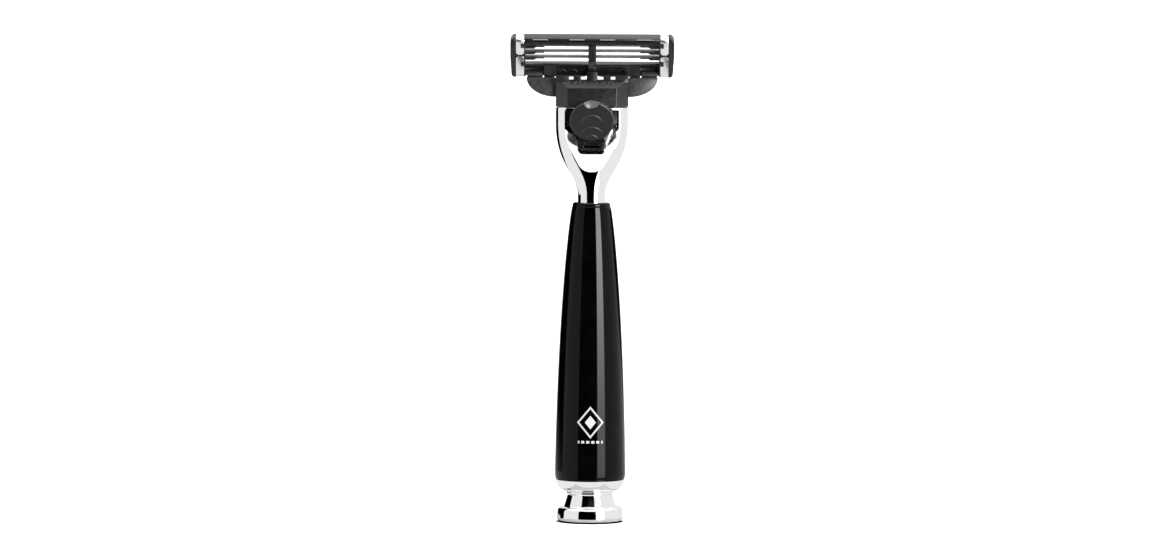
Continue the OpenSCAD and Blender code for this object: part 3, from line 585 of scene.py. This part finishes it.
FINISH = {
    "chrome_trim": polished_metal("chrome_trim", 0.955, 0.03),
    "chrome_fork": polished_metal("chrome_fork", 0.955, 0.025),
    "black_resin": black_resin(),
    "rod_steel": rolled_metal("rod_steel", 0.4, 0.5, 0.3),
    "module_plastic": moulded_plastic("module_plastic", 0.003, 0.005, 0.24, edge_highlight_amount=0.2),
    "slide_plastic": moulded_plastic("slide_plastic", 0.008, 0.012, 0.35),
    "button_plastic": button_plastic(),
    "plunger_plastic": moulded_plastic("plunger_plastic", 0.005, 0.008, 0.35, clear=0.15),
    "spring_steel": polished_metal("spring_steel", 0.6, 0.15),
    "base_plastic": moulded_plastic("base_plastic", 0.014, 0.019, 0.38, grain=0.25, edge_highlight_amount=0.3),
    "cover_plastic": moulded_plastic("cover_plastic", 0.007, 0.009, 0.26, grain=0.22, edge_highlight_amount=0.3),
    "housing_plastic": moulded_plastic(
        "housing_plastic", 0.005, 0.007, 0.27, grain=0.22, edge_highlight_amount=0.25, clear=0.4
    ),
    "cap_mark_painted_light": cap_mark_painted_light(),
    "clip_aluminium": rolled_metal("clip_aluminium", 0.93, 0.98, 0.24, 0.12),
    "strip_polymer": moulded_plastic("strip_polymer", 0.3, 0.42, 0.5, grain=0.3),
    "guard_rubber": moulded_plastic("guard_rubber", 0.01, 0.016, 0.6, grain=0.3),
    "blade_steel": rolled_metal("blade_steel", 0.55, 0.7, 0.16, 0.14),
    "support_steel": rolled_metal("support_steel", 0.5, 0.66, 0.24, 0.18),
}

# ---------------------------------------------------------------- handle

BORE_R = 2.05  # clearance round the tie rod
foot_high = ends("foot")[1]
collar_low, collar_high = ends("collar")
grip_low, grip_high = ends("grip")
fork_high = ends("fork")[1]


def foot_profile():
    """From the axis under the disc, round the disc, up the waist, round the bead and down the rod's bore."""
    r, top = foot_high[0], 3.8  # the disc
    edge, fillet, bead = 1.2, 0.35, 0.55  # radii of its lower edge, the waist's foot and the bead
    waist_r, waist_top_r, bead_r, bead_z = 7.05, 5.82, 5.55, foot_high[2] - 1.1
    rod_z = 2.4
    return path(
        [[0, 0]],
        arc([r - edge, edge], edge, -90, 0, 16),
        cubic([[r, edge], [r - 0.02, top - 0.9], [r - 0.1, top - 0.05], [r - 0.75, top]], 28),
        arc([waist_r, top + fillet], fillet, 270, 196, 8),
        [[waist_top_r, bead_z - 0.05]],
        arc([bead_r, bead_z + bead], bead, -60, 60, 16),
        [[bead_r + 0.25, foot_high[2]], [BORE_R, foot_high[2]], [BORE_R, rod_z], [0, rod_z]],
    )


def collar_profile():
    """Round the bowl from its underside to the rim under the grip, and back down the bore."""
    low, high, r = collar_low[2], collar_high[2], collar_high[0]
    base_r = 6.45
    return path(
        [[BORE_R, low], [base_r - 0.15, low]],
        cubic([[base_r, low + 0.02], [r - 1.15, low + 0.02], [r - 0.65, low + 0.9], [r, high - 0.08]], 32),
        [[r - 0.1, high], [BORE_R, high], [BORE_R, low]],
    )[:-1]


def grip_profile():
    """Up the swelling outside, over the rounded upper end, into the neck's seat and down the bore."""
    low, high, r = grip_low[2], grip_high[2], grip_high[0]
    length = high - low
    seat, seat_r, top_r = high - 1.5, 3.55, 4.86
    return path(
        [[BORE_R, low]],
        arc([r - 0.62, low + 0.5], 0.5, -90, -8, 10),
        cubic(
            [[r, low + 1.3], [0.93 * r, low + 0.64 * length], [5.485, high - 1.5], [top_r, high - 0.9]], 120
        ),
        arc([4.2, high - 0.7], 0.7, 15, 90, 12),
        [[seat_r, high], [seat_r, seat], [BORE_R, seat], [BORE_R, low]],
        step=0.6,
    )[:-1]


fitted(
    grid_mesh("turned_foot", [turned(foot_profile())]), "foot", "handle", FINISH["chrome_trim"]
)
fitted(
    grid_mesh("bowl_collar", [turned(collar_profile())], loop=True),
    "collar", "handle", FINISH["chrome_trim"],
)
fitted(
    grid_mesh("resin_grip", [turned(grip_profile())], loop=True),
    "grip", "handle", FINISH["black_resin"],
)

# ---------------------------------------------------------------- fork

FORK_TOP = fork_high[2]
FORK_R, FORK_HALF_DEPTH = fork_high[0], fork_high[1]
NECK_R, NECK_BASE = 3.5, grip_high[2]
WELL_FRONT, WELL_BACK, MODULE_GAP = -2.85, 1.45, 0.1  # the hole that holds the docking module
SQUARE = 2.7  # power of the head's sections: 2 is an ellipse, and more is boxier
LIP = 0.35  # rounding of the top's edge
RECESS = {"side": 7.0, "top": FORK_TOP - 0.6, "knee": FORK_TOP - 8.2, "bottom": FORK_TOP - 16.6}
RECESS_DEPTH = 5.0
FORK_SHARP = 13  # degrees of bend over which its edges stay crisp
RECESS_RUN = 2.75  # height gained for each millimetre of depth on its slope


def lower(a, b, blend):
    """The lower of two surfaces, with a rounded fold between them."""
    return (a + b - np.sqrt((a - b) ** 2 + blend**2)) / 2


def rounded(corners, radii, count=14):
    """A closed outline with each corner turned into an arc of its radius."""
    corners = np.array(corners, float)
    out = []
    for before, here, after, radius in zip(np.roll(corners, 1, 0), corners, np.roll(corners, -1, 0), radii):
        u, v = (side / np.linalg.norm(side) for side in (before - here, after - here))
        half = math.acos(float(u @ v)) / 2
        middle = here + (u + v) / np.linalg.norm(u + v) * radius / math.sin(half)
        p, q = (here + side * radius / math.tan(half) - middle for side in (u, v))
        turn = np.linspace(0, 1, count)[:, None]
        sweep = math.pi - 2 * half
        fan = (np.sin((1 - turn) * sweep) * p + np.sin(turn * sweep) * q) / math.sin(sweep)
        out.append(middle + fan)
    return np.concatenate(out)


def recess_outline():
    """Outline of the thumb recess from the front: straight sides that draw in to a rounded U."""
    side, narrow = RECESS["side"], 0.34 * RECESS["side"]
    right = [[side, RECESS["top"]], [side, RECESS["knee"]], [narrow, RECESS["bottom"]]]
    left = [[-x, z] for x, z in reversed(right)]
    return rounded(right + left, [0.4, 14, 3.6, 3.6, 14, 0.4])


def fork_levels():
    """Half width, half depth, squareness and height of each section, from the spigot to the top's middle.

    The width follows a cubic from the neck to the head; depth and squareness follow the width.
    """
    start, full = NECK_BASE + 1.8, FORK_TOP - 3.9
    curve = cubic([[NECK_R, start], [NECK_R, start + 5.7], [FORK_R, full - 11.5], [FORK_R, full]], 400)
    fine = (88.0, 93.0)  # heights between which the sections lie closest, where the recess ends
    heights = np.concatenate([
        [NECK_BASE - 1.5], np.linspace(NECK_BASE - 0.5, fine[0], 34)[:-1], np.linspace(*fine, 46)[:-1],
        np.linspace(fine[1], FORK_TOP - 1.2, 60), np.linspace(FORK_TOP - 1.05, FORK_TOP - LIP, 16),
    ])
    width = np.interp(heights, curve[:, 1], curve[:, 0])
    share = (width - NECK_R) / (FORK_R - NECK_R)
    depth = NECK_R + (FORK_HALF_DEPTH - NECK_R) * share
    body = np.stack([width, depth, 2 + (SQUARE - 2) * share**3, heights], -1)
    turn = np.radians(np.linspace(10, 90, 9))
    edge = LIP * (1 - np.cos(turn)), LIP * np.sin(turn)
    lip = np.stack([
        FORK_R - edge[0], FORK_HALF_DEPTH - edge[0], np.full(9, SQUARE), FORK_TOP - LIP + edge[1]
    ], -1)
    inward = np.linspace(1, 0, 8)[1:]
    lid = np.stack([
        (FORK_R - LIP) * inward, (FORK_HALF_DEPTH - LIP) * inward, np.full(7, SQUARE), np.full(7, FORK_TOP)
    ], -1)
    floor = np.array([[0, 0, 2, NECK_BASE - 1.5]])
    return np.concatenate([floor, body, lip, lid])


def fork_surface():
    """Each section is a rounded box: |x / width| and |y / depth| to a power add up to one all the way round.
    The points across lie closest together at the flanks."""
    width, depth, power, height = fork_levels().T[:, :, None]
    side = np.concatenate([np.linspace(0, 0.6, 24)[:-1], np.linspace(0.6, 0.93, 30)[:-1]])
    turn = np.linspace(np.arccos(0.93), 0, 26)
    side = np.concatenate([side, np.cos(turn)])
    half = np.concatenate([-side[::-1][:-1], side])
    across = np.concatenate([half, half[::-1][1:-1]])
    sign = np.concatenate([-np.ones(len(half)), np.ones(len(half) - 2)])
    bulge = np.clip(1 - np.abs(across) ** power, 0, 1) ** (1 / power)
    return np.stack(np.broadcast_arrays(width * across, sign * depth * bulge, height), -1)


def prism(outline, low, high, centre):
    """A closed block: an X-Z outline carried along Y from low to high, its ends closed in to a centre."""
    middle = np.array(centre)
    rows = []
    for y, share in ((low, 0), (low, 1), (high, 1), (high, 0)):
        ring = middle + (outline - middle) * share
        rows.append(np.stack([ring[:, 0], np.full(len(ring), float(y)), ring[:, 1]], -1))
    return np.array(rows)


def recess_block():
    """Everything in front of the recess floor, as one side-on outline carried across. The floor is a slope of
    20 degrees that folds into an upright wall, and 0.004 x squared hollows both."""
    x = np.linspace(-9, 9, 46)[:, None]
    bottom, top, front = 70.0, 109.0, -16.0  # of the block, clear of the fork
    z = np.concatenate([np.linspace(bottom, 98, 50), np.linspace(98, 104, 26)[1:], [top]])
    slope_start = RECESS["bottom"] - 0.494 * RECESS_DEPTH
    back = RECESS_DEPTH - FORK_HALF_DEPTH
    slope = (z - slope_start) / RECESS_RUN - FORK_HALF_DEPTH
    floor = lower(slope, back + 0 * z, 0.25) - 0.004 * x**2
    y = np.concatenate([floor, np.full((len(x), 2), front)], 1)
    z = np.broadcast_to(np.concatenate([z, [top, bottom]]), y.shape)
    rows = np.stack([np.broadcast_to(x, y.shape), y, z], -1)
    caps = [np.broadcast_to(row.mean(0), row.shape)[None] for row in (rows[0], rows[-1])]
    return np.concatenate([caps[0], rows, caps[1]])


def module_outline(gap, top):
    """Front-on outline of the docking module, grown by gap."""
    r = RECESS["side"] - 0.5
    right = [
        [r + gap, top], [r + gap, FORK_TOP - 4], [r - 1.4 + gap, FORK_TOP - 5],
        [0.56 * r + gap, FORK_TOP - 9], [0.53 * r + gap, FORK_TOP - 11.1 - gap],
    ]
    left = [[-x, z] for x, z in reversed(right)]
    return rounded(right + left, [0.05, 0.4, 0.6, 0.5, 1.2, 1.2, 0.5, 0.6, 0.4, 0.05])


def cut(piece, cutter, keep="DIFFERENCE"):
    """Takes a closed cutter out of a piece, exactly, or keeps only what both hold, and removes the cutter."""
    taken = piece.modifiers.new("cut", "BOOLEAN")
    taken.operation, taken.solver, taken.object = keep, "EXACT", cutter
    bpy.context.view_layer.update()
    result = bpy.data.meshes.new_from_object(piece.evaluated_get(bpy.context.evaluated_depsgraph_get()))
    piece.modifiers.clear()
    piece.data = result
    bpy.data.objects.remove(cutter)


fork = grid_mesh("chrome_fork", [fork_surface()])
recess = grid_mesh("recess", [prism(recess_outline(), -8, 6, (0, FORK_TOP - 7))])
cut(recess, grid_mesh("recess_block", [recess_block()]), "INTERSECT")
well = prism(module_outline(MODULE_GAP, FORK_TOP + 1), WELL_FRONT, WELL_BACK, (0, FORK_TOP - 6))
bore_low, bore_high = NECK_BASE - 2.5, NECK_BASE + 5.7
bore = [[0, bore_low], [BORE_R, bore_low], [BORE_R, bore_high], [0, bore_high]]
for cutter in (recess, grid_mesh("well", [well]), grid_mesh("bore", [turned(path(bore, step=9), 96)])):
    cut(fork, cutter)
fork.data.shade_smooth()
fork.data.set_sharp_from_angle(angle=math.radians(FORK_SHARP))
fitted(fork, "fork", "handle", FINISH["chrome_fork"])

# ---------------------------------------------------------------- release button

BUTTON_R, BUTTON_T, BUTTON_TILT = 5.7, 1.1, math.radians(27)
BUTTON_EDGE = 0.5  # rounding of the face's rim
# radius of each raised arc, how high its top lies as a share of the disc's radius, and half its sweep
ARC_R, ARC_TOP, ARC_HALF = (3.05, 3.05, 1.7), (0.35, -0.25, -0.67), math.radians(70)
MODULE_FRONT = -FORK_HALF_DEPTH + 1.55  # the module's face stands back from the fork's
BUTTON_GAP = 0.3  # between that face and the disc's lower edge
BUTTON_Y = MODULE_FRONT - BUTTON_GAP - BUTTON_R * math.sin(BUTTON_TILT) - BUTTON_T / 2 * math.cos(BUTTON_TILT)
BUTTON_Z = FORK_TOP - 3.4
# radius of the ball that scoops the upper edge, and how high its centre lies over the face
SCOOP_R, SCOOP_RISE = 3.3, 2.3


def smooth_step(value, low, high):
    """0 under low, 1 over high, and a smooth S between."""
    t = np.clip((value - low) / (high - low), 0, 1)
    return t * t * (3 - 2 * t)


def arc_places(x, y):
    """For each raised arc, how far outside its circle a point of the face lies, and at what angle."""
    for r, share in zip(ARC_R, ARC_TOP):
        up = y - (share * BUTTON_R - r)
        yield np.hypot(x, up) - r, np.abs(np.arctan2(x, up))


def scoop_ball(x, y):
    """Square of the scooping ball's half height over a point of the face. It is under 0 outside the ball."""
    return SCOOP_R**2 - x**2 - (y - BUTTON_R - 0.5) ** 2


def button_face():
    """Height over the disc: a low crown, three raised arcs that fall away inwards, and a ball-shaped scoop
    in the upper edge. The rows run from the middle of the face out, down the rim and in under the disc."""
    angle = np.linspace(0, 2 * np.pi, 256, endpoint=False)
    spread = np.concatenate([[0], np.linspace(0.06, BUTTON_R - BUTTON_EDGE, 84)])
    rim = arc([BUTTON_R - BUTTON_EDGE, 0], BUTTON_EDGE, 90, 12, 9)[1:]
    radius = np.concatenate([spread, rim[:, 0]])[:, None]
    drop = np.concatenate([0 * spread, BUTTON_EDGE - rim[:, 1]])[:, None]
    x, y = radius * np.cos(angle), radius * np.sin(angle)
    top = BUTTON_T / 2 + 0.12 * (1 - (radius / BUTTON_R) ** 2) - drop + 0 * x
    for out, turn in arc_places(x, y):
        ridge = smooth_step(out, -0.45, -0.1) * (1 - smooth_step(out, -0.02, 0.1))
        top += 0.16 * ridge * (1 - smooth_step(turn, ARC_HALF - 0.25, ARC_HALF))
    ball = scoop_ball(x, y)
    scoop = BUTTON_T / 2 + SCOOP_RISE - np.sqrt(np.maximum(ball, 0))
    top = np.where(ball > 0.3, lower(top, scoop, 0.08), top)
    # radius and height of each ring under the face, and how far it stays under the scooped rim
    low = [
        (BUTTON_R, 0.1, 0.04), (BUTTON_R, -0.15, 0.08), (BUTTON_R - 0.05, -0.5, 0.1),
        (BUTTON_R - 0.15, -0.55, 0.12), (0, -0.55, -9),
    ]
    under = [
        np.stack([r * np.cos(angle), r * np.sin(angle), np.minimum(level, top[-1] - gap)], -1)
        for r, level, gap in low
    ]
    face = np.stack([x, y, top], -1)
    return np.concatenate([face, np.array(under)])


def painted_highlight_share(x, y):
    """How much painted highlight the face gets, as paleness: the whole scoop, the crests of the arcs and the
    rim.
    """
    radius = np.hypot(x, y)
    pale = 0.3 * smooth_step(radius, BUTTON_R - 0.32, BUTTON_R - 0.14)
    for out, turn in arc_places(x, y):
        crest = smooth_step(out, -0.2, -0.08) * (1 - smooth_step(out, 0, 0.1))
        pale = np.maximum(pale, 0.34 * crest * (1 - smooth_step(turn, ARC_HALF - 0.2, ARC_HALF)))
    return np.maximum(pale, smooth_step(scoop_ball(x, y) - SCOOP_RISE**2, 0, 1.4))


def tilted(points):
    """From the button's own frame, with its face along +Z, to the razor's."""
    x, y, z = np.moveaxis(points, -1, 0)
    s, c = math.sin(math.pi / 2 + BUTTON_TILT), math.cos(math.pi / 2 + BUTTON_TILT)
    return np.stack([x, BUTTON_Y + y * c - z * s, BUTTON_Z + y * s + z * c], -1)


def stem_surface():
    """The stem behind the disc: one side-on outline, carried across from left to right."""
    slide = ends("release_button")[0][2]
    half, chamfer = 1.4, 0.07
    foot_y = BUTTON_Y + (BUTTON_Z - slide - 0.4) * math.tan(BUTTON_TILT) + 0.1
    outline = rounded(
        [
            [MODULE_FRONT - 0.15, slide], [MODULE_FRONT - 0.15, RECESS["top"] - 2.2],
            [BUTTON_Y + 0.2, RECESS["top"] - 2.2], [foot_y - 0.75, slide + 1.9],
            [MODULE_FRONT - 0.25, slide + 1.5], [MODULE_FRONT - 0.25, slide],
        ],
        [0.03] * 6,
        4,
    )
    middle = outline.mean(0)
    rows = []
    for x, s in (
        (-half, 0), (-half, 0.97), (chamfer - half, 1), (half - chamfer, 1), (half, 0.97), (half, 0)
    ):
        ring = middle + (outline - middle) * s
        rows.append(np.stack([np.full(len(ring), x), ring[:, 0], ring[:, 1]], -1))
    return np.array(rows)


button = grid_mesh("release_button_disc", [tilted(button_face())], sharp=40)
# the painted highlight's share is worked out in the button's own frame and kept on the mesh
place = np.empty(len(button.data.vertices) * 3)
button.data.vertices.foreach_get("co", place)
place = place.reshape(-1, 3) / MM - [0, BUTTON_Y, BUTTON_Z]
lean = math.pi / 2 + BUTTON_TILT
face_y = place[:, 1] * math.cos(lean) + place[:, 2] * math.sin(lean)
face_z = place[:, 2] * math.cos(lean) - place[:, 1] * math.sin(lean)
# painted highlight share, kept only on the face and rim
pale = painted_highlight_share(place[:, 0], face_y) * (face_z > -0.45)
button.data.attributes.new("painted_highlight", "FLOAT", "POINT").data.foreach_set("value", pale.astype(np.float32))
fitted(button, "release_button", "release_button", FINISH["button_plastic"])
stem = grid_mesh("release_button_stem", [stem_surface()], sharp=40)
stem.data.materials.append(FINISH["button_plastic"])
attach(stem, "release_button")

# ---------------------------------------------------------------- spring

spring_low, spring_high = ends("plunger_spring")


def spring_surface():
    """A wire carried along a helix: a small circle stands square to the wire at every step."""
    wire, turns, steps = 0.14, 11, 22  # half the wire's thickness, and the steps in each turn
    middle = (spring_low + spring_high) / 2
    radius = (spring_high[0] - spring_low[0]) / 2 - wire
    t = np.linspace(0, 1, turns * steps + 1)[:, None]
    angle = 2 * np.pi * turns * t
    low, high = spring_low[2] + wire, spring_high[2] - wire
    ring = np.linspace(0, 2 * np.pi, 12, endpoint=False)
    rise = (high - low) / (2 * np.pi * turns * radius)
    slant = 1 / math.hypot(1, rise)
    out, up = wire * np.cos(ring), wire * np.sin(ring)
    x = (radius + out) * np.cos(angle) + up * rise * slant * np.sin(angle)
    y = (radius + out) * np.sin(angle) - up * rise * slant * np.cos(angle)
    z = low + (high - low) * t + up * slant
    tube = np.stack([middle[0] + x, middle[1] + y, z], -1)
    first, last = (end.mean(1, keepdims=True).repeat(len(ring), 1) for end in (tube[:1], tube[-1:]))
    return np.concatenate([first, tube, last])


fitted(
    grid_mesh("coil_spring", [spring_surface()]), "plunger_spring", "handle",
    FINISH["spring_steel"],
)

# ---------------------------------------------------------------- eased mouldings and clips

# node: body, how far its edges are rounded over in millimetres, and slot
EASED = {
    "docking_housing": ("handle", 0.08, "module_plastic"),
    "connector_cover": ("connector", 0.1, "cover_plastic"),
    "connector_base": ("connector", 0.08, "base_plastic"),
    "blade_housing": ("blade_unit", 0.06, "housing_plastic"),
    "retaining_clip_left": ("blade_unit", 0.05, "clip_aluminium"),
    "retaining_clip_right": ("blade_unit", 0.05, "clip_aluminium"),
    "plunger": ("plunger", 0.08, "plunger_plastic"),
}
for node, (body, width, slot) in EASED.items():
    fitted(eased(node, width), node, body, FINISH[slot])


def cap_marks():
    """Four wedges across the cap's back: a wedge side on, with its crest outwards, carried along X."""
    crest_y, half, taper = -4.4, 1.95, 0.15
    wedge = np.array([
        [-3.7, 123.5], [crest_y, CAP_MARK_Z - 0.05], [crest_y, CAP_MARK_Z + 0.01], [-3.9, 124.15]
    ])
    middle = wedge.mean(0)
    grids = []
    for x in (-3.9, 3.9, -13.3, 13.3):
        rows = []
        for end, share in (
            (-half, 0), (-half, 0.8), (taper - half, 1), (half - taper, 1), (half, 0.8), (half, 0)
        ):
            ring = middle + (wedge - middle) * share
            rows.append(np.stack([np.full(4, x + end), ring[:, 0], ring[:, 1]], -1))
        grids.append(np.array(rows))
    return grids


marks = grid_mesh("cap_marks", cap_marks(), sharp=30)
marks.data.materials.append(FINISH["cap_mark_painted_light"])
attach(marks, "blade_unit")

# CAD nodes that are shown as they are, and the slot of each
KEPT = {
    "tie_rod": "rod_steel", "ejector_slide": "slide_plastic", "lubricating_strip": "strip_polymer",
    "guard_fins": "guard_rubber", "blade_1": "blade_steel", "blade_2": "blade_steel",
    "blade_3": "blade_steel", "blade_support_1": "support_steel", "blade_support_2": "support_steel",
    "blade_support_3": "support_steel",
}
for node, slot in KEPT.items():
    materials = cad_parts[node].data.materials
    if not len(materials):
        materials.append(FINISH[slot])
    for k in range(len(materials)):
        materials[k] = FINISH[slot]

# ---------------------------------------------------------------- stage and camera

studio_world()


def level_sheet(half, z):
    """Corner rows of a level square sheet."""
    return [[[-half, -half, z], [half, -half, z]], [[-half, half, z], [half, half, z]]]


def flank_flag(stations, near, far, gap):
    """A sheet that stands beside a turned surface. At each (height, radius, width share) its near and far
    edges lie gap along the directions that the surface mirrors at the shares near and far of its radius."""
    height, radius, width = np.array(stations, float).T
    rows = []
    for share in (near + 0 * height, near + (far - near) * width):
        azimuth = 2 * np.arcsin(share)
        rows.append(np.stack([
            radius * share + gap * np.sin(azimuth),
            -radius * np.sqrt(1 - share**2) - gap * np.cos(azimuth),
            height,
        ], -1))
    return np.stack(rows, 1)


def fork_flag(stations, near, far, gap):
    """A sheet beside the fork's left flank: from the points at the shares near and far of its half width, gap
    along the direction that the flank mirrors there, for each (height, width share)."""
    height, width = np.array(stations, float).T
    levels = fork_levels()[1:-16]

    def level(z):
        return [np.interp(z, levels[:, 3], levels[:, k]) for k in range(3)]

    a, b, p = level(height)
    up, down = level(height + 0.1), level(height - 0.1)
    a_slope, b_slope = ((up[k] - down[k]) / 0.2 for k in range(2))
    rows = []
    for share in (near + 0 * height, near + (far - near) * width):
        rest = 1 - share**p
        normal = -np.stack([
            share ** (p - 1) / a, rest ** ((p - 1) / p) / b, share**p * a_slope / a + rest * b_slope / b
        ], -1)
        normal /= np.linalg.norm(normal, axis=-1, keepdims=True)
        mirrored = np.array([0, 1, 0]) - 2 * normal[:, 1:2] * normal
        rows.append(np.stack([-a * share, -b * rest ** (1 / p), height], -1) + gap * mirrored)
    return np.stack(rows, 1)


def grip_radius(height):
    """Radius of the grip's outside at a height."""
    side = grip_profile()
    side = side[(side[:, 0] > 4.3) & (side[:, 1] < grip_high[2] - 0.9)]
    return np.interp(height, side[:, 1], side[:, 0])


# the floor, and the pad that reflections see in its place, carry a painted contact shadow round the foot; the
# pad's darker grey is painted shade in the foot's reflection
stage_sheet(
    "floor", level_sheet(15000, 0), 0.97, ("camera", "diffuse", "shadow"), glow=0.2, ring=(8.2, 9.0)
)
stage_sheet("floor_pad", level_sheet(14, 0.01), 0.45, ("glossy",), ring=(7.9, 8.6))

# black flags that only reflections see; each narrows to nothing where its width share is 0
FLANK = 0.9993, 0.93  # shares of the fork's half width between which the flags beside it show
neck_z, fork_z, grip_z = np.linspace(80.6, 87.6, 14), np.linspace(90, 105.5, 31), np.linspace(28, 81.2, 24)
neck_share, fork_share = np.clip((88 - neck_z) / 4, 0, 1), np.clip((fork_z - 89.5) / 4, 0, 1)
grip_share = np.clip((grip_z - 27) / 40, 0, 1)
FLAGS = {
    "foot_flag": flank_flag([[0.4, 8.5, 1], [2.9, 8.5, 1]], -0.8, -0.9, 4),
    "neck_flag": fork_flag(np.stack([neck_z, neck_share], -1), *FLANK, 4),
    "fork_flag": fork_flag(np.stack([fork_z, fork_share], -1), *FLANK, 6),
    "right_flag": flank_flag(np.stack([grip_z, grip_radius(grip_z), grip_share], -1), 0.98, 0.88, 7),
}
for name, rows in FLAGS.items():
    stage_sheet(name, rows, 0.0, ("glossy",))
camera()
bpy.context.scene.view_settings.view_transform = "Standard"
